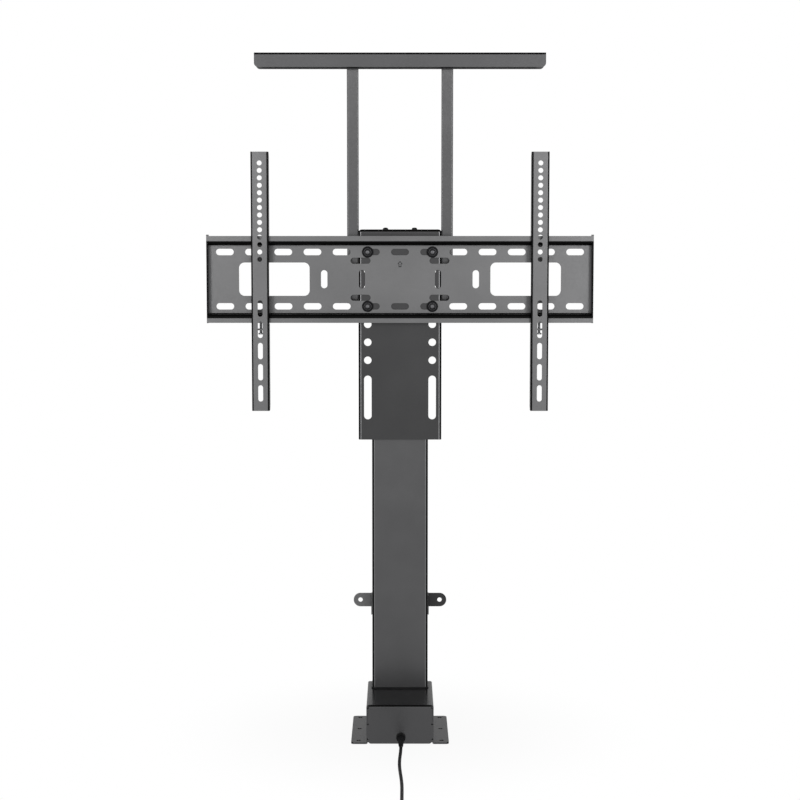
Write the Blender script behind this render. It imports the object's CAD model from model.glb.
"""TV lift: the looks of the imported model, its small fasteners, its cable and the studio.

The frame is in metres, +X right, +Y back, +Z up. Small pieces are drawn in mm, and MM turns
their sizes into metres. Where they stand comes from the boxes of the CAD nodes.
"""

import math

import bmesh
import bpy
from mathutils import Matrix, Vector


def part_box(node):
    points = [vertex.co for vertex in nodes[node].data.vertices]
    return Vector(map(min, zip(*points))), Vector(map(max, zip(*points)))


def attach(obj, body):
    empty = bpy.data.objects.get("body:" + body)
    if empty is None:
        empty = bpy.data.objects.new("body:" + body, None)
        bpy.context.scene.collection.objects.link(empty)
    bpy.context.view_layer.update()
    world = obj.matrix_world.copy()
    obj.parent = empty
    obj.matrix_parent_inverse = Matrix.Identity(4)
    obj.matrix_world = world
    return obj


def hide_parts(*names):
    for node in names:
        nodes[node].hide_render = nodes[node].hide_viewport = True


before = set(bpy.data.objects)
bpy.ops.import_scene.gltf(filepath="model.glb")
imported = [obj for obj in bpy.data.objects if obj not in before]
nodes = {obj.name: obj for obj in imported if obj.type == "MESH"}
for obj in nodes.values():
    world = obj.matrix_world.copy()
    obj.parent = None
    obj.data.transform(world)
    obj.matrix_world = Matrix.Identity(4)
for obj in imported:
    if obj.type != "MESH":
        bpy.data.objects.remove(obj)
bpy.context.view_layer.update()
MM = 0.001


def spans(node):
    """Low end, middle and high end of a CAD node's box along x, y and z, in mm."""
    low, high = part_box(node)
    return [(a / MM, (a + b) / 2 / MM, b / MM) for a, b in zip(low, high)]


def forward(node):
    """Back and front end of a CAD node in mm, counted forward, which is along -y."""
    front, _, back = spans(node)[1]
    return -back, -front


def new_object(name, data):
    thing = bpy.data.objects.new(name, data)
    bpy.context.scene.collection.objects.link(thing)
    return thing


# Camera, fitted to the photograph, in metres and degrees

SENSOR_WIDTH = 36.0
LENS = 84.6
CAMERA_PLACE = (0.0, -3.208, 0.875)
LOOKS_DOWN_BY = 5.29


def make_camera():
    data = bpy.data.cameras.new("camera")
    data.sensor_width = SENSOR_WIDTH
    data.lens = LENS
    data.clip_start = 0.05
    data.clip_end = 50.0
    camera = new_object("camera", data)
    camera.location = CAMERA_PLACE
    camera.rotation_euler = (math.radians(90 - LOOKS_DOWN_BY), 0.0, 0.0)
    bpy.context.scene.camera = camera


# Shader nodes

class Nodes:
    """Adds and links the nodes of one tree."""

    def __init__(self, tree):
        self.tree = tree

    def add(self, kind, **values):
        node = self.tree.nodes.new(kind)
        for key, value in values.items():
            setattr(node, key, value)
        return node

    def feed(self, socket, value):
        """Link a socket to another node's result, or set it to a number or a colour."""
        if isinstance(value, bpy.types.NodeSocket):
            self.tree.links.new(value, socket)
        else:
            socket.default_value = value

    def fill(self, node, **values):
        """Feed a node's inputs by their names, with _ for each space."""
        for key, value in values.items():
            self.feed(node.inputs[key.replace("_", " ")], value)

    def calculate(self, operation, *values, clamp=False):
        """The result of one Math node, kept from 0 to 1 with clamp."""
        node = self.add("ShaderNodeMath", operation=operation, use_clamp=clamp)
        for socket, value in zip(node.inputs, values):
            self.feed(socket, value)
        return node.outputs[0]

    def spread(self, value, low, high, start=0.3, end=0.7, curve="LINEAR"):
        """Turn start to end into low to high. A noise lies mostly between 0.3 and 0.7."""
        node = self.add("ShaderNodeMapRange", interpolation_type=curve)
        self.fill(node, Value=value, From_Min=start, From_Max=end, To_Min=low, To_Max=high)
        return node.outputs["Result"]


class Shader(Nodes):
    """The nodes of one material of the object."""

    def __init__(self, name):
        self.material = bpy.data.materials.new(name)
        self.material.use_nodes = True
        super().__init__(self.material.node_tree)
        self.surface = self.tree.nodes["Principled BSDF"]
        self.coordinates = self.add("ShaderNodeTexCoord").outputs
        self.place = self.coordinates["Object"]

    def set(self, **values):
        self.fill(self.surface, **values)

    def noise(self, scale, detail=3.0, stretch=None):
        node = self.add("ShaderNodeTexNoise")
        place = self.place
        if stretch:
            mapping = self.add("ShaderNodeMapping")
            self.fill(mapping, Vector=place, Scale=stretch)
            place = mapping.outputs["Vector"]
        self.fill(node, Vector=place, Scale=scale, Detail=detail)
        return node.outputs["Fac"]

    def mix(self, share, first, second):
        """Mix two colours, each given as three numbers or as another node's result."""
        node = self.add("ShaderNodeMix", data_type="RGBA")
        self.fill(node, Factor=share)
        for end, color in (("A", first), ("B", second)):
            value = (*color, 1.0) if isinstance(color, tuple) else color
            self.feed(color_socket(node.inputs, end), value)
        return color_socket(node.outputs, "Result")

    def clouded(self, color, dark, light, scale, detail=3.0):
        """A colour that changes softly between dark times and light times itself."""
        cloud = self.spread(self.noise(scale, detail), 0.0, 1.0)
        return self.mix(cloud, scaled(color, dark), scaled(color, light))

    def rough(self, value, low, high):
        self.set(Roughness=self.spread(value, low, high))

    def bump(self, height, depth, strength, under=None):
        node = self.add("ShaderNodeBump")
        self.fill(node, Height=height, Distance=depth, Strength=strength)
        if under:
            self.fill(node, Normal=under)
        self.set(Normal=node.outputs["Normal"])
        return node.outputs["Normal"]

    def tilt(self):
        """1 on flat faces, which all look along an axis of the part, and less on bends.
        The second result is the share that looks to the side."""
        absolute = self.add("ShaderNodeVectorMath", operation="ABSOLUTE")
        self.feed(absolute.inputs[0], self.coordinates["Normal"])
        share = self.split(absolute.outputs["Vector"])
        largest = self.calculate("MAXIMUM", share["X"], share["Y"])
        return self.calculate("MAXIMUM", largest, share["Z"]), share["X"]

    def split(self, vector):
        node = self.add("ShaderNodeSeparateXYZ")
        self.fill(node, Vector=vector)
        return node.outputs

    def away(self, value, middle):
        """Distance of a value from a middle."""
        return self.calculate("ABSOLUTE", self.calculate("SUBTRACT", value, middle))

    def across(self, axis, middle=0.0):
        """Distance of a place from a middle plane of the part, across one axis."""
        return self.away(self.split(self.place)[axis], middle)


def color_socket(sockets, name):
    """A Mix node has sockets of the same name for numbers, vectors and colours."""
    return next(socket for socket in sockets if socket.name == name and socket.type == "RGBA")


def scaled(values, factor):
    return tuple(value * factor for value in values)


# Dark strips of flat faces beside their bends, in metres

# A strip begins softly between two distances from the middle of an arm or of the rail's lips
ARM_MIDDLE = spans("right_arm")[0][1] * MM
ARM_STRIP = (0.0124, 0.0136)
ARM_STRIP_SHARE = 0.85
RAIL_MIDDLE = spans("rail_bolts")[2][1] * MM
LIPS_MIDDLE = RAIL_MIDDLE - 0.0005
LIP_STRIP = (0.0652, 0.0662)
# The lips lie nearer to the plane y = 0 than this, and the rest of the rail further
LIPS_END = (0.006, 0.008)


def arm_strips(coat):
    """The strips beside the long bends of both TV arms, a little lighter than the bends."""
    from_arm = coat.away(coat.across("X"), ARM_MIDDLE)
    return coat.spread(from_arm, 0.0, ARM_STRIP_SHARE, *ARM_STRIP)


def rail_strips(coat):
    """The strips of the rail's lips beside their bends: only the lips are so far in front."""
    lips = coat.spread(coat.across("Y"), 1.0, 0.0, *LIPS_END)
    inner = coat.spread(coat.across("Z", LIPS_MIDDLE), 1.0, 0.0, *LIP_STRIP)
    return coat.calculate("MULTIPLY", lips, inner)


# Kinds of material. Rough is the pair of ends of a material's roughness

# Tilts between which a face turns from its other colour to its plain one
DARK_BEND = (0.970, 0.998)
DARK_BEND_BEHIND_LINE = (0.930, 0.968)
RUBBED_LINE = (0.982, 0.9995)
# Shares that look to the side, between which the faces of upright bends begin
UPRIGHT = (0.04, 0.10)
# How far the marks of bare metal are drawn together along x, y and z
TURNED_MARKS = (60.0, 60.0, 4000.0)
EVEN_MARKS = (900.0, 900.0, 900.0)


def powder_coat(name, color, rough=(0.32, 0.40), bend=0.05, rubbed=0.0, beside=None,
                graze=0.45):
    """Satin metallic coat: fine orange peel under a finer grain, and a little cloudiness.
    Bends have the colour times bend, and so have the strips that beside gives. rubbed is
    the same for a lighter line where an upright bend begins. graze tints the gloss at a low
    angle."""
    coat = Shader(name)
    coat.set(Specular_IOR_Level=0.30, Metallic=0.85, Specular_Tint=(graze, graze, graze, 1.0))
    dark = scaled(color, bend)
    face = coat.clouded(color, 0.95, 1.05, scale=14.0, detail=2.0)
    tilt, sideways = coat.tilt()
    if rubbed:
        start = coat.spread(tilt, 1.0, 0.0, *RUBBED_LINE)
        upright = coat.spread(sideways, 0.0, 1.0, *UPRIGHT)
        line = coat.calculate("MULTIPLY", start, upright)
        face = coat.mix(line, face, scaled(color, rubbed))
    if beside:
        face = coat.mix(beside(coat), face, dark)
    tilts = DARK_BEND_BEHIND_LINE if rubbed else DARK_BEND
    turned = coat.spread(tilt, 1.0, 0.0, *tilts)
    coat.set(Base_Color=coat.mix(turned, face, dark))
    coat.rough(coat.noise(scale=260.0, detail=4.0), *rough)
    peel = coat.bump(coat.noise(scale=420.0, detail=2.0), depth=0.00004, strength=0.5)
    coat.bump(coat.noise(scale=2600.0, detail=2.0), depth=0.00002, strength=0.35, under=peel)
    return coat.material


def bare_metal(name, color, rough, turned=False, metallic=1.0):
    """Zinc plate, machined steel, brass: fine marks, turned ones run round the axis."""
    metal = Shader(name)
    metal.set(Metallic=metallic, Base_Color=metal.clouded(color, 0.86, 1.08, scale=90.0))
    marks = metal.noise(scale=1.0, stretch=TURNED_MARKS if turned else EVEN_MARKS)
    metal.rough(marks, *rough)
    metal.bump(marks, depth=0.00002, strength=0.3)
    return metal.material


def plastic(name, color, rough=(0.42, 0.6), grain=1500.0, depth=0.00004, gloss=0.12):
    """Moulded plastic with a fine spark-eroded grain."""
    moulded = Shader(name)
    moulded.set(Specular_IOR_Level=gloss,
                Base_Color=moulded.clouded(color, 0.88, 1.12, scale=60.0))
    moulded.rough(moulded.noise(scale=500.0), *rough)
    moulded.bump(moulded.noise(scale=grain, detail=2.0), depth=depth, strength=0.5)
    return moulded.material


def cast_metal(name, color):
    """Die-cast aluminium: soft mottling and a sandy skin."""
    cast = Shader(name)
    cast.set(Metallic=0.85, Base_Color=cast.clouded(color, 0.8, 1.05, scale=40.0, detail=4.0))
    cast.rough(cast.noise(scale=300.0), 0.45, 0.62)
    cast.bump(cast.noise(scale=1100.0), depth=0.00008, strength=0.5)
    return cast.material


# The materials. The parts of the photograph have a grey each

GREY = (0.129, 0.129, 0.131)
BLACK = (0.006, 0.006, 0.0065)


def make_coats():
    return {
        "tab": powder_coat("powder_coat_tab", GREY),
        "shaded_tab": powder_coat("powder_coat_right_tab", (0.042, 0.042, 0.043)),
        "arm": powder_coat("powder_coat_arm", GREY, beside=arm_strips),
        "rail": powder_coat("powder_coat_rail", GREY, bend=0.02, beside=rail_strips),
        "lid": powder_coat("powder_coat_lid", (0.078, 0.078, 0.080)),
        "post": powder_coat("powder_coat_post", (0.120, 0.120, 0.122), rough=(0.15, 0.20),
                            bend=0.8),
        "column": powder_coat("powder_coat_column", (0.089, 0.089, 0.091), rubbed=2.0),
        "base": powder_coat("powder_coat_base", (0.074, 0.074, 0.076), rough=(0.20, 0.26),
                            rubbed=1.8, graze=0.53),
        "head": powder_coat("powder_coat_head", (0.050, 0.050, 0.051), rubbed=5.5),
        "motor": powder_coat("motor_paint", (0.035, 0.035, 0.038), rough=(0.3, 0.4)),
    }


def make_metals():
    return {
        "zinc": bare_metal("zinc_plate", (0.42, 0.43, 0.44), (0.28, 0.42)),
        "dull_zinc": bare_metal("dull_zinc_plate", (0.10, 0.10, 0.105), (0.3, 0.45)),
        "bright_zinc": bare_metal("bright_zinc", (0.62, 0.63, 0.64), (0.4, 0.55), metallic=0.5),
        "black_zinc": bare_metal("black_zinc", (0.008, 0.008, 0.009), (0.3, 0.45),
                                 metallic=0.9),
        "nut_zinc": bare_metal("black_zinc_nut", (0.036, 0.036, 0.038), (0.3, 0.45),
                               metallic=0.9),
        "steel": bare_metal("machined_steel", (0.55, 0.56, 0.58), (0.22, 0.36), turned=True),
        "brass": bare_metal("brass", (0.72, 0.53, 0.24), (0.25, 0.4), turned=True),
        "cast": cast_metal("cast_aluminium", (0.50, 0.51, 0.53)),
    }


def make_plastics():
    return {
        "black": plastic("black_plastic", BLACK),
        "jacket": plastic("cable_jacket", BLACK, (0.5, 0.62), grain=900.0, depth=0.00003),
        "nylon": plastic("white_nylon", (0.80, 0.79, 0.74), gloss=0.4),
    }


# The CAD nodes of each look. Those that a piece of this script replaces are among them
LOOKS = {
    "tab": "left_wall_tab",
    "shaded_tab": "right_wall_tab",
    "rail": "rail",
    "arm": "left_arm right_arm",
    "lid": "lid_bar",
    "post": "left_post right_post",
    "column": "outer_tube middle_tube inner_tube",
    "base": "base_housing bottom_plate",
    "head": "head_plate",
    "zinc": "foot_screws gearbox_screws rail_bolts left_lock_screw right_lock_screw",
    "steel": "column_foot lower_bearing upper_bearing drive_spindle hollow_spindle worm_shaft",
    "brass": "worm_wheel travel_nut inner_nut",
    "black_zinc": "housing_screws tab_screws head_screws post_screws lid_screws "
                  "rail_washers rail_nuts",
    "black": "outer_collar middle_collar middle_plug post_plugs cable_gland cable_connector",
    "jacket": "cable cable_coil",
    "nylon": "middle_glide inner_glide",
    "cast": "gearbox_body gearbox_cover top_cap",
    "motor": "motor_can",
}


def dress(piece, material):
    piece.data.materials.clear()
    piece.data.materials.append(material)


# Meshes of the small pieces

# Edges stay sharp where faces turn by more than this, in degrees
SHARP_FROM = 32


def bridge(solid, first, second):
    """Faces between two closed loops of vertices."""
    for here in range(len(first)):
        after = (here + 1) % len(first)
        solid.faces.new((first[here], first[after], second[after], second[here]))


def new_piece(name, solid):
    """A bmesh as an object of the scene, with its faces looking outward."""
    bmesh.ops.recalc_face_normals(solid, faces=solid.faces)
    mesh = bpy.data.meshes.new(name)
    solid.to_mesh(mesh)
    solid.free()
    return new_object(name, mesh)


def soften(piece):
    for face in piece.data.polygons:
        face.use_smooth = True
    piece.data.set_sharp_from_angle(angle=math.radians(SHARP_FROM))


def ring_points(height, radius, segments):
    """Points of one ring round the z axis. The radius can be a function of the angle."""
    points = []
    for segment in range(segments):
        angle = 2 * math.pi * segment / segments
        reach = radius(angle) if callable(radius) else radius
        points.append(Vector((reach * math.cos(angle), reach * math.sin(angle), height)) * MM)
    return points


def turned_piece(name, shapes, segments=48):
    """A piece of turned solids. A shape is a matrix and its rings, from one end to the other,
    and a ring is a height and a radius in mm."""
    solid = bmesh.new()
    for matrix, rings in shapes:
        loops = [[solid.verts.new(matrix @ point) for point in ring_points(*ring, segments)]
                 for ring in rings]
        for low, high in zip(loops, loops[1:]):
            bridge(solid, low, high)
        solid.faces.new(list(reversed(loops[0])))
        solid.faces.new(loops[-1])
    piece = new_piece(name, solid)
    soften(piece)
    return piece


def facing(place, direction):
    """Matrix that puts a piece's own +z along a direction, at a place in mm."""
    turn = Vector(direction).to_track_quat("Z", "Y").to_matrix().to_4x4()
    return Matrix.Translation(Vector(place) * MM) @ turn


def hand_over(piece, material, body, slot, *replaced):
    """Dress a piece and let it ride on its body, in the place of the nodes it replaces."""
    dress(piece, material)
    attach(piece, body)
    if replaced:
        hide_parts(*replaced)


# Rings of the fasteners, in mm. In names, d is a diameter, h a height and l a length

# Angle of one side of a hexagon
SIXTH = math.pi / 3
CHAMFER_DEPTH = 0.55
CHAMFER_STEPS = 5
# Radius of the flat end of a chamfered hexagon, as a share of half its flats
CHAMFER_START = 0.97
RINGS_PER_PITCH = 8
# A thread's crests lie this far inside its screw's own radius
THREAD_GAP = 0.02
# Depth of a thread as a share of its pitch
THREAD_DEPTH = 0.55
# Share of a thread's flank, at its crest and at its root, that is flat
THREAD_FLAT = 0.12
# A thread runs out over the last of its length, where its radius shrinks by part of a loss
THREAD_RUN_OUT = 0.8
THREAD_LEFT = 0.25
THREAD_LOSS = 0.6
# Radius of the mouth of a socket, as a share of half its flats
SOCKET_MOUTH = 1.17
SOCKET_BEVEL = 0.25
# A socket's floor is a cone of this height, which ends at this radius
SOCKET_POINT = 0.5
SOCKET_END = 0.2
# Depth of a socket as a share of the head
DOME_SOCKET = 0.55
FLAT_SOCKET = 0.6
SHANK_CHAMFER = 0.4
HEAD_BEVEL = 0.15
DOME_RIM = 0.5
DOME_STEPS = 9
# Just under 1, so that a dome begins with a small step at its rim
DOME_FILL = 0.999
# The straight rim of a countersunk head, and the height and width of its broken edge
FLAT_RIM = 0.2
FLAT_EDGE_H = 0.05
FLAT_EDGE = 0.08


def hexagon(flat):
    """Radius of a hexagon flat mm across, as a function of the angle."""
    def radius(angle):
        return flat / 2 / math.cos((angle % SIXTH) - SIXTH / 2)
    return radius


def chamfered_hexagon(flat, low, high):
    """Rings of a hexagon whose ends are turned to a cone of 30 degrees."""
    sides = hexagon(flat)
    rings = []
    for step in range(CHAMFER_STEPS + 1):
        depth = CHAMFER_DEPTH * step / CHAMFER_STEPS
        cone = flat / 2 * CHAMFER_START + depth / math.tan(math.radians(30))
        rings.append((low + depth, lambda angle, cone=cone: min(sides(angle), cone)))
    return rings + [(high - (height - low), radius) for height, radius in reversed(rings)]


def threaded(radius, pitch, low, high):
    """Rings of a real helical thread that runs out at its high end."""
    depth = pitch * THREAD_DEPTH
    steps = round((high - low) / (pitch / RINGS_PER_PITCH))
    rings = []
    for step in range(steps + 1):
        height = low + (high - low) * step / steps
        left = min(1.0, (high - height) / THREAD_RUN_OUT + THREAD_LEFT)

        def flank(angle, height=height, left=left):
            turn = (height / pitch - angle / (2 * math.pi)) % 1.0
            tooth = (abs(turn * 2 - 1) - THREAD_FLAT) / (1 - 2 * THREAD_FLAT)
            tooth = min(1.0, max(0.0, tooth))
            return (radius - depth * (1 - tooth)) - (1 - left) * THREAD_LOSS

        rings.append((height, flank))
    return rings


def hexagon_socket(top, flat, depth):
    """Rings of a hexagon socket below its mouth, down to its floor."""
    sides = hexagon(flat)
    return [(top - SOCKET_BEVEL, sides), (top - depth, sides),
            (top - depth - SOCKET_POINT, SOCKET_END)]


def shank(diameter, length, end):
    """Rings of a plain shank, from its tip up to a height."""
    radius = diameter / 2
    return [(-length, radius - SHANK_CHAMFER), (-length + SHANK_CHAMFER, radius), (end, radius)]


def dome_head(head_d, head_h, shank_d, shank_l, flat):
    """Rings of a button-head screw standing on z = 0."""
    edge = head_d / 2
    mouth = flat / 2 * SOCKET_MOUTH
    rings = shank(shank_d, shank_l, 0.0)
    rings += [(0.0, edge - HEAD_BEVEL), (HEAD_BEVEL, edge), (DOME_RIM, edge)]
    for step in range(1, DOME_STEPS + 1):
        radius = edge + (mouth - edge) * step / DOME_STEPS
        rise = math.sqrt(1 - (radius / edge) ** 2 * DOME_FILL)
        rings.append((DOME_RIM + (head_h - DOME_RIM) * rise, radius))
    return rings + hexagon_socket(rings[-1][0], flat, head_h * DOME_SOCKET)


def flat_head(head_d, head_h, shank_d, shank_l, flat, sunk):
    """Rings of a countersunk screw whose head is sunk a little under z = 0."""
    top = -sunk
    edge = head_d / 2
    rings = shank(shank_d, shank_l, top - head_h)
    rings += [(top - FLAT_RIM, edge), (top - FLAT_EDGE_H, edge), (top, edge - FLAT_EDGE)]
    rings.append((top, flat / 2 * SOCKET_MOUTH))
    return rings + hexagon_socket(top, flat, head_h * FLAT_SOCKET)


# Rail bolts, M8, with their washers, nuts and the nuts' inserts, in mm. Heights run forward

HEXAGON_FLAT = 13.0
BOLT_RADIUS = 4.0
BOLT_PITCH = 1.25
BOLT_HEAD_H = 5.0
BOLT_PLAIN = 7.2
# The plain part is thinner than the thread by this
BOLT_PLAIN_GAP = 0.1
BOLT_TIP = 0.8
BOLT_ROOT_RADIUS = 3.4
BOLT_TIP_RADIUS = 2.8
BOLT_TIP_EDGE_H = 0.1
BOLT_TIP_EDGE = 0.2
WASHER_RADIUS = 9.75
WASHER_HOLE = 4.2
WASHER_BACK_EDGE_H = 0.25
WASHER_BACK_EDGE = 0.2
WASHER_FRONT_EDGE = 0.4
NUT_GAP = 0.08
# A nut's hole is closed this far inside its back, round the bolt
NUT_END = 0.01
# The nut's seat for its insert: depth and radius
INSERT_DEPTH = 1.2
INSERT_SEAT = 5.35
# The insert: gaps to its seat and to the bolt, how far it is sunk, and its two edges
INSERT_LIFT = 0.02
INSERT_OUTER_GAP = 0.05
INSERT_INNER_GAP = 0.1
INSERT_SUNK = 0.15
INSERT_OUTER_EDGE = 0.25
INSERT_INNER_EDGE_H = 0.35
INSERT_INNER_EDGE = 0.4


def bolt_places():
    """Middles of the four bolts in x and z, from the hexagons of their nuts."""
    (left, _, right), _, (low, _, high) = spans("rail_nuts")
    flank = HEXAGON_FLAT / 2
    corner = flank / math.cos(SIXTH / 2)
    return [(x, z) for x in (left + flank, right - flank) for z in (high - corner, low + corner)]


def rail_bolt():
    """Hexagon head, plain shank, thread and a rounded tip."""
    back, tip = forward("rail_bolts")
    head_front = back + BOLT_HEAD_H
    plain_end = head_front + BOLT_PLAIN
    plain = BOLT_RADIUS - BOLT_PLAIN_GAP
    rings = chamfered_hexagon(HEXAGON_FLAT, back, head_front)
    rings += [(head_front, plain), (plain_end, plain)]
    rings += threaded(BOLT_RADIUS - THREAD_GAP, BOLT_PITCH, plain_end, tip - BOLT_TIP)
    return rings + [
        (tip - BOLT_TIP, BOLT_ROOT_RADIUS), (tip - BOLT_TIP_EDGE_H, BOLT_TIP_RADIUS),
        (tip, BOLT_TIP_RADIUS - BOLT_TIP_EDGE),
    ]


def rail_washer():
    """A disc with its front edge turned off and its back edge broken."""
    back, front = forward("rail_washers")
    return [
        (back, WASHER_HOLE), (back, WASHER_RADIUS - WASHER_BACK_EDGE),
        (back + WASHER_BACK_EDGE_H, WASHER_RADIUS), (front - WASHER_FRONT_EDGE, WASHER_RADIUS),
        (front, WASHER_RADIUS - WASHER_FRONT_EDGE), (front, WASHER_HOLE),
    ]


def rail_nut():
    """A chamfered hexagon with its hole, which is wider where the insert sits."""
    back, front = forward("rail_nuts")
    seat = front - INSERT_DEPTH
    hole = BOLT_RADIUS + NUT_GAP
    rings = chamfered_hexagon(HEXAGON_FLAT, back, front)
    return rings + [(front, INSERT_SEAT), (seat, INSERT_SEAT), (seat, hole),
                    (back + NUT_END, hole)]


def rail_nut_insert():
    """The nylon ring that holds a lock nut."""
    front = forward("rail_nuts")[1]
    seat = front - INSERT_DEPTH + INSERT_LIFT
    top = front - INSERT_SUNK
    inner = BOLT_RADIUS + INSERT_INNER_GAP
    outer = INSERT_SEAT - INSERT_OUTER_GAP
    return [
        (seat, inner), (seat, outer),
        (top - INSERT_OUTER_EDGE, outer), (top, outer - INSERT_OUTER_EDGE),
        (top, inner + INSERT_INNER_EDGE), (top - INSERT_INNER_EDGE_H, inner),
    ]


def make_rail_bolts(looks):
    places = [facing((x, 0, z), (0, -1, 0)) for x, z in bolt_places()]
    for name, rings, look, slot, replaced in (
        ("rail_bolt_set", rail_bolt(), "dull_zinc", "zinc_steel", ["rail_bolts"]),
        ("rail_washer_set", rail_washer(), "black_zinc", "black_screws", ["rail_washers"]),
        ("rail_nut_set", rail_nut(), "nut_zinc", "black_screws", ["rail_nuts"]),
        ("rail_nut_insert_set", rail_nut_insert(), "black", "black_plastic", []),
    ):
        piece = turned_piece(name, [(place, rings) for place in places])
        hand_over(piece, looks[look], "inner_stage", slot, *replaced)


# Screws with a socket, in mm. Each kind stands the same on both sides

HEAD_SHEET = 3.0
HEAD_SCREW_D = 9.6
POST_SCREW_D = 11.0
TAB_SCREW_SUNK = 0.2


def head_screws():
    """The two domed screws on top of the head plate."""
    (_, _, right), (_, y, _), _ = spans("head_screws")
    x = right - HEAD_SCREW_D / 2
    z = spans("head_plate")[2][2]
    rings = dome_head(HEAD_SCREW_D, head_h=3.4, shank_d=5, shank_l=14, flat=3)
    return [(facing((side * x, y, z), (0, 0, 1)), rings) for side in (-1, 1)]


def tab_screws():
    """The countersunk screw of each wall tab."""
    (_, _, right), (_, y, _), (_, z, _) = spans("tab_screws")
    x = right + TAB_SCREW_SUNK
    rings = flat_head(head_d=7.2, head_h=1.6, shank_d=4, shank_l=3.8, flat=2.5,
                      sunk=TAB_SCREW_SUNK)
    return [(facing((side * x, y, z), (side, 0, 0)), rings) for side in (-1, 1)]


def post_screws():
    """Two screws that hold each post, with their heads inside the head plate."""
    x = spans("head_plate")[0][2] - HEAD_SHEET
    _, (_, y, _), (low, _, high) = spans("post_screws")
    rings = dome_head(POST_SCREW_D, head_h=3.2, shank_d=6, shank_l=10.5, flat=4)
    return [(facing((side * x, y, z), (-side, 0, 0)), rings) for side in (-1, 1)
            for z in (low + POST_SCREW_D / 2, high - POST_SCREW_D / 2)]


def make_socket_screws(looks):
    for name, shapes, body, replaced in (
        ("head_screw_set", head_screws(), "inner_stage", "head_screws"),
        ("tab_screw_set", tab_screws(), "base", "tab_screws"),
        ("post_screw_set", post_screws(), "inner_stage", "post_screws"),
    ):
        hand_over(turned_piece(name, shapes), looks["black_zinc"], body, "black_screws", replaced)


# Lock screws, M5, in mm, each behind its arm with the head down

LOCK_FLAT = 4.0
LOCK_SOCKET_DEPTH = 1.6
LOCK_SOCKET_MOUTH = 2.4
LOCK_SOCKET_BEVEL = 0.2
LOCK_SOCKET_POINT = 0.3
LOCK_HEAD_RADIUS = 4.5
LOCK_HEAD_H = 2.4
LOCK_EDGE = 0.3
LOCK_RADIUS = 2.5
LOCK_PITCH = 0.8
LOCK_PLAIN = 0.5
LOCK_TIP = 1.0
LOCK_TIP_RADIUS = 1.7


def lock_screw(low, high):
    """Socket, head with broken edges, thread and tip, from the bottom up."""
    sides = hexagon(LOCK_FLAT)
    head_top = low + LOCK_HEAD_H
    rings = [
        (low + LOCK_SOCKET_DEPTH + LOCK_SOCKET_POINT, LOCK_SOCKET_POINT),
        (low + LOCK_SOCKET_DEPTH, sides),
        (low + LOCK_SOCKET_BEVEL, sides), (low, LOCK_SOCKET_MOUTH),
        (low, LOCK_HEAD_RADIUS - LOCK_EDGE), (low + LOCK_EDGE, LOCK_HEAD_RADIUS),
        (head_top - LOCK_EDGE, LOCK_HEAD_RADIUS), (head_top, LOCK_HEAD_RADIUS - LOCK_EDGE),
        (head_top, LOCK_RADIUS),
    ]
    rings += threaded(LOCK_RADIUS - THREAD_GAP, LOCK_PITCH, head_top + LOCK_PLAIN,
                      high - LOCK_TIP)
    return rings + [(high, LOCK_TIP_RADIUS)]


def make_lock_screws(looks):
    for side in ("left", "right"):
        node = side + "_lock_screw"
        x = spans(side + "_arm")[0][1]
        _, (_, y, _), (low, _, high) = spans(node)
        shape = (Matrix.Translation(Vector((x, y, 0)) * MM), lock_screw(low, high))
        piece = turned_piece(node + "_detail", [shape], segments=32)
        hand_over(piece, looks["bright_zinc"], side + "_lock", "zinc_steel", node)


# Cable, in mm: the free stretch is laid by hand, as in the CAD source, and then it is coiled

CABLE_D = 5.5
# Height of its middle where it lies on the floor
FLOOR = CABLE_D / 2 + 0.05
ROUTE = [
    (1.5, -124, 7.4), (1.4, -130, 6.5), (1.3, -137, 5.3), (1.0, -146, 4.0), (0.6, -156, 3.2),
    (0.1, -168, FLOOR), (-0.4, -182, FLOOR), (-0.8, -200, FLOOR), (-0.9, -218, FLOOR),
    (-0.6, -236, FLOOR), (0.0, -254, FLOOR), (0.8, -272, FLOOR), (1.6, -290, FLOOR),
    (2.3, -308, FLOOR), (2.8, -326, FLOOR), (3.0, -344, FLOOR), (3.0, -362, FLOOR),
    (2.9, -380, FLOOR), (2.8, -400, FLOOR), (2.8, -422, FLOOR), (2.8, -444, FLOOR),
    (2.8, -466, FLOOR), (2.8, -488, FLOOR),
]
COIL_TURNS = 4.25
COIL_POINTS_PER_TURN = 24
COIL_INNER_RADIUS = 21.5
COIL_STEP = 6.3
COIL_RISE = 6.2
COIL_RISE_TURNS = 0.5
COIL_TAIL = 24.0


def coil_points():
    """The coil spirals in along the floor, climbs a layer and spirals out on top."""
    half = COIL_TURNS / 2
    middle_x = ROUTE[-1][0] - (COIL_INNER_RADIUS + COIL_STEP * half)
    middle_y = ROUTE[-1][1] - CABLE_D
    points = []
    for point in range(round(COIL_TURNS * COIL_POINTS_PER_TURN) + 1):
        turn = point / COIL_POINTS_PER_TURN
        angle = 2 * math.pi * turn
        radius = COIL_INNER_RADIUS + COIL_STEP * abs(turn - half)
        share = (turn - half + COIL_RISE_TURNS / 2) / COIL_RISE_TURNS
        share = max(0.0, min(1.0, share))
        points.append((middle_x + radius * math.cos(angle), middle_y - radius * math.sin(angle),
                       FLOOR + COIL_RISE * share * share * (3 - 2 * share)))
    x, y, z = points[-1]
    return points + [(x - COIL_TAIL / 2, y, z), (x - COIL_TAIL, y, z)]


def length(points):
    """Length along points in mm, in metres."""
    return sum(math.dist(a, b) for a, b in zip(points, points[1:])) * MM


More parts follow.
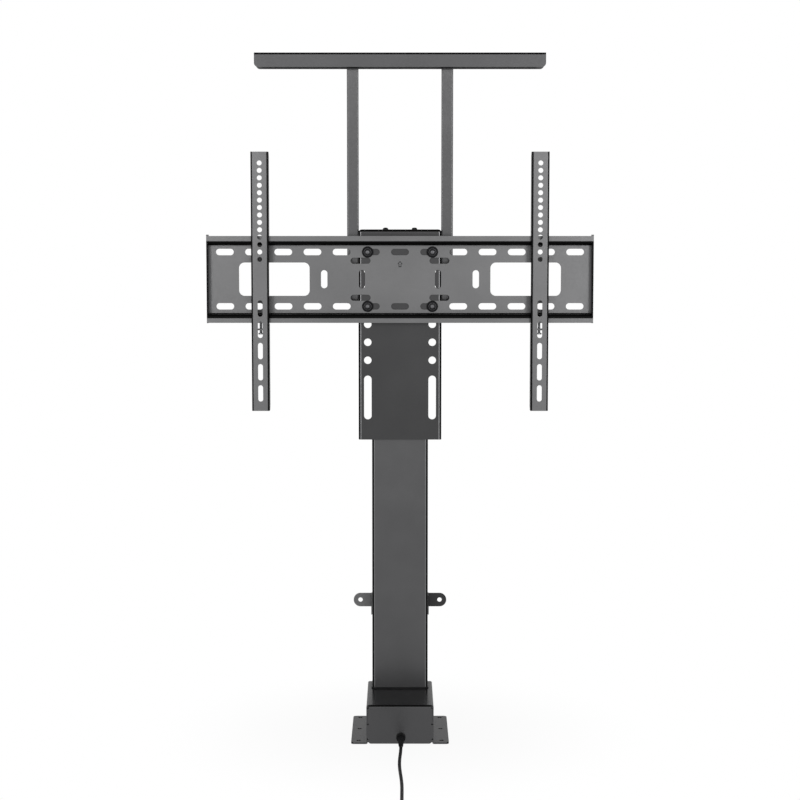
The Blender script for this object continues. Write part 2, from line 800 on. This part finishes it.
def make_cable(looks):
    points = ROUTE + coil_points()
    data = bpy.data.curves.new("motor_cable", "CURVE")
    data.dimensions = "3D"
    data.resolution_u = 4
    data.bevel_depth = CABLE_D / 2 * MM
    data.bevel_resolution = 5
    data.use_fill_caps = True
    spline = data.splines.new("POLY")
    spline.points.add(len(points) - 1)
    for point, place in zip(spline.points, points):
        point.co = (*scaled(place, MM), 1.0)
    piece = new_object("motor_cable", data)
    hand_over(piece, looks["jacket"], "base", "cable_jacket", "cable", "cable_coil")


# Bead at the column's foot, in mm: its section counts outward from the tube and upward

SEAL_SECTION = [(0.0, 0.0), (1.6, 0.0), (1.6, 1.4), (1.3, 1.9), (0.7, 2.3), (0.0, 2.4)]
SEAL_GAP = 0.02
# Outer radius of the tube's corners
TUBE_CORNER = 5.0
CORNER_STEPS = 8


def make_foot_seal(looks):
    """Black rubber that closes the joint between the column and the housing's top."""
    (left, _, right), (front, _, back), _ = spans("outer_tube")
    left, right = left + TUBE_CORNER, right - TUBE_CORNER
    front, back = front + TUBE_CORNER, back - TUBE_CORNER
    top = spans("base_housing")[2][2]
    solid = bmesh.new()
    loops = []
    for x, y, start in ((right, back, 0), (left, back, 90), (left, front, 180),
                        (right, front, 270)):
        for step in range(CORNER_STEPS + 1):
            angle = math.radians(start + 90 * step / CORNER_STEPS)
            loop = []
            for outward, upward in SEAL_SECTION:
                reach = TUBE_CORNER + outward + SEAL_GAP
                place = (x + reach * math.cos(angle), y + reach * math.sin(angle),
                         top + upward + SEAL_GAP)
                loop.append(solid.verts.new(scaled(place, MM)))
            loops.append(loop)
    for loop, after in zip(loops, loops[1:] + loops[:1]):
        bridge(solid, after, loop)
    piece = new_piece("column_foot_seal", solid)
    soften(piece)
    hand_over(piece, looks["black"], "base", "black_plastic")


# Arrow on the rail, in mm: its outline from its foot up, drawn with a line of one width

ARROW_OUTLINE = [(-2.3, 0), (2.3, 0), (2.3, 5.2), (4.4, 5.2), (0, 10.5), (-4.4, 5.2), (-2.3, 5.2)]
ARROW_MIDDLE = (0, 4.6)
ARROW_LINE = 1.5
ARROW_ABOVE_MIDDLE = 20.7
# It lies this far in front of the rail, on which the washers lie too
INK = 0.06


def make_arrow(looks):
    """The small printed arrow that shows which way up the rail goes."""
    y = spans("rail_washers")[1][2] - INK
    foot = RAIL_MIDDLE / MM + ARROW_ABOVE_MIDDLE
    outer = [Vector(corner) for corner in ARROW_OUTLINE]
    middle = Vector(ARROW_MIDDLE)
    inner = [corner + (middle - corner).normalized() * ARROW_LINE for corner in outer]
    solid = bmesh.new()
    loops = [[solid.verts.new(scaled((x, y, foot + z), MM)) for x, z in corners]
             for corners in (outer, inner)]
    bridge(solid, *loops)
    hand_over(new_piece("arrow_mark", solid), looks["black"], "inner_stage", "black_plastic")


# Studio, in metres

FLOOR_SIZE = 24.0
FLOOR_DROP = 0.0002
FLOOR_GREY = (0.8, 0.8, 0.8, 1.0)
WHITE = (1.0, 1.0, 1.0, 1.0)
# How white the floor shows, from its middle out to where the lift's shadow has faded
FLOOR_WHITE = (0.93, 1.0)
SHADOW_FADES = (0.10, 0.45)
WORLD_LIGHT = 0.45


def background_rays(studio):
    """1 for rays that show the background: seen directly, mirrored or through glass."""
    path = studio.add("ShaderNodeLightPath").outputs
    seen = studio.calculate("ADD", path["Is Camera Ray"], path["Is Glossy Ray"])
    return studio.calculate("ADD", seen, path["Is Transmission Ray"], clamp=True)


def make_world():
    world = bpy.data.worlds.new("studio")
    world.use_nodes = True
    studio = Nodes(world.node_tree)
    level = studio.spread(background_rays(studio), WORLD_LIGHT, 1.0, 0.0, 1.0)
    studio.fill(world.node_tree.nodes["Background"], Color=WHITE, Strength=level)
    bpy.context.scene.world = world


def floor_material():
    """Pale grey that takes the shadow, under white that background rays see."""
    material = bpy.data.materials.new("studio_floor")
    material.use_nodes = True
    studio = Nodes(material.node_tree)
    surface = material.node_tree.nodes["Principled BSDF"]
    studio.fill(surface, Base_Color=FLOOR_GREY, Roughness=0.9)
    glow = studio.add("ShaderNodeEmission")
    studio.fill(glow, Strength=1.0)
    away = studio.add("ShaderNodeVectorMath", operation="LENGTH")
    studio.feed(away.inputs[0], studio.add("ShaderNodeTexCoord").outputs["Object"])
    white = studio.spread(away.outputs["Value"], *FLOOR_WHITE, *SHADOW_FADES, curve="SMOOTHSTEP")
    share = studio.calculate("MULTIPLY", background_rays(studio), white)
    mix = studio.add("ShaderNodeMixShader")
    for socket, value in zip(mix.inputs, (share, surface.outputs[0], glow.outputs[0])):
        studio.feed(socket, value)
    studio.feed(material.node_tree.nodes["Material Output"].inputs["Surface"], mix.outputs[0])
    return material


def make_floor():
    bpy.ops.mesh.primitive_plane_add(size=FLOOR_SIZE, location=(0.0, 0.0, -FLOOR_DROP))
    floor = bpy.context.object
    floor.name = "studio_floor"
    floor.data.materials.append(floor_material())


def lamp(name, place, target, width, height, watts):
    data = bpy.data.lights.new(name, "AREA")
    data.shape = "RECTANGLE"
    data.size = width
    data.size_y = height
    data.energy = watts
    light = new_object(name, data)
    light.location = place
    aim = Vector(target) - Vector(place)
    light.rotation_euler = aim.to_track_quat("-Z", "Y").to_euler()


def make_lamps():
    """Weak softboxes that only shade the even light: one at each side and one above."""
    for name, side, watts in (("softbox_left", -1, 12.0), ("softbox_right", 1, 15.0)):
        lamp(name, place=(side * 1.05, -3.0, 1.05), target=(side * 0.2, 0, 0.85), width=0.5,
             height=1.3, watts=watts)
    lamp("softbox_front", place=(0.0, -3.5, 1.9), target=(0, 0, 0.8), width=1.6, height=0.7,
         watts=7.0)


# Assembly

make_camera()
looks = {**make_coats(), **make_metals(), **make_plastics()}
make_cable(looks)
for look, names in LOOKS.items():
    for node in names.split():
        dress(nodes[node], looks[look])
make_rail_bolts(looks)
make_socket_screws(looks)
make_lock_screws(looks)
make_foot_seal(looks)
make_arrow(looks)
make_world()
make_floor()
make_lamps()
bpy.context.scene.view_settings.view_transform = "Standard"
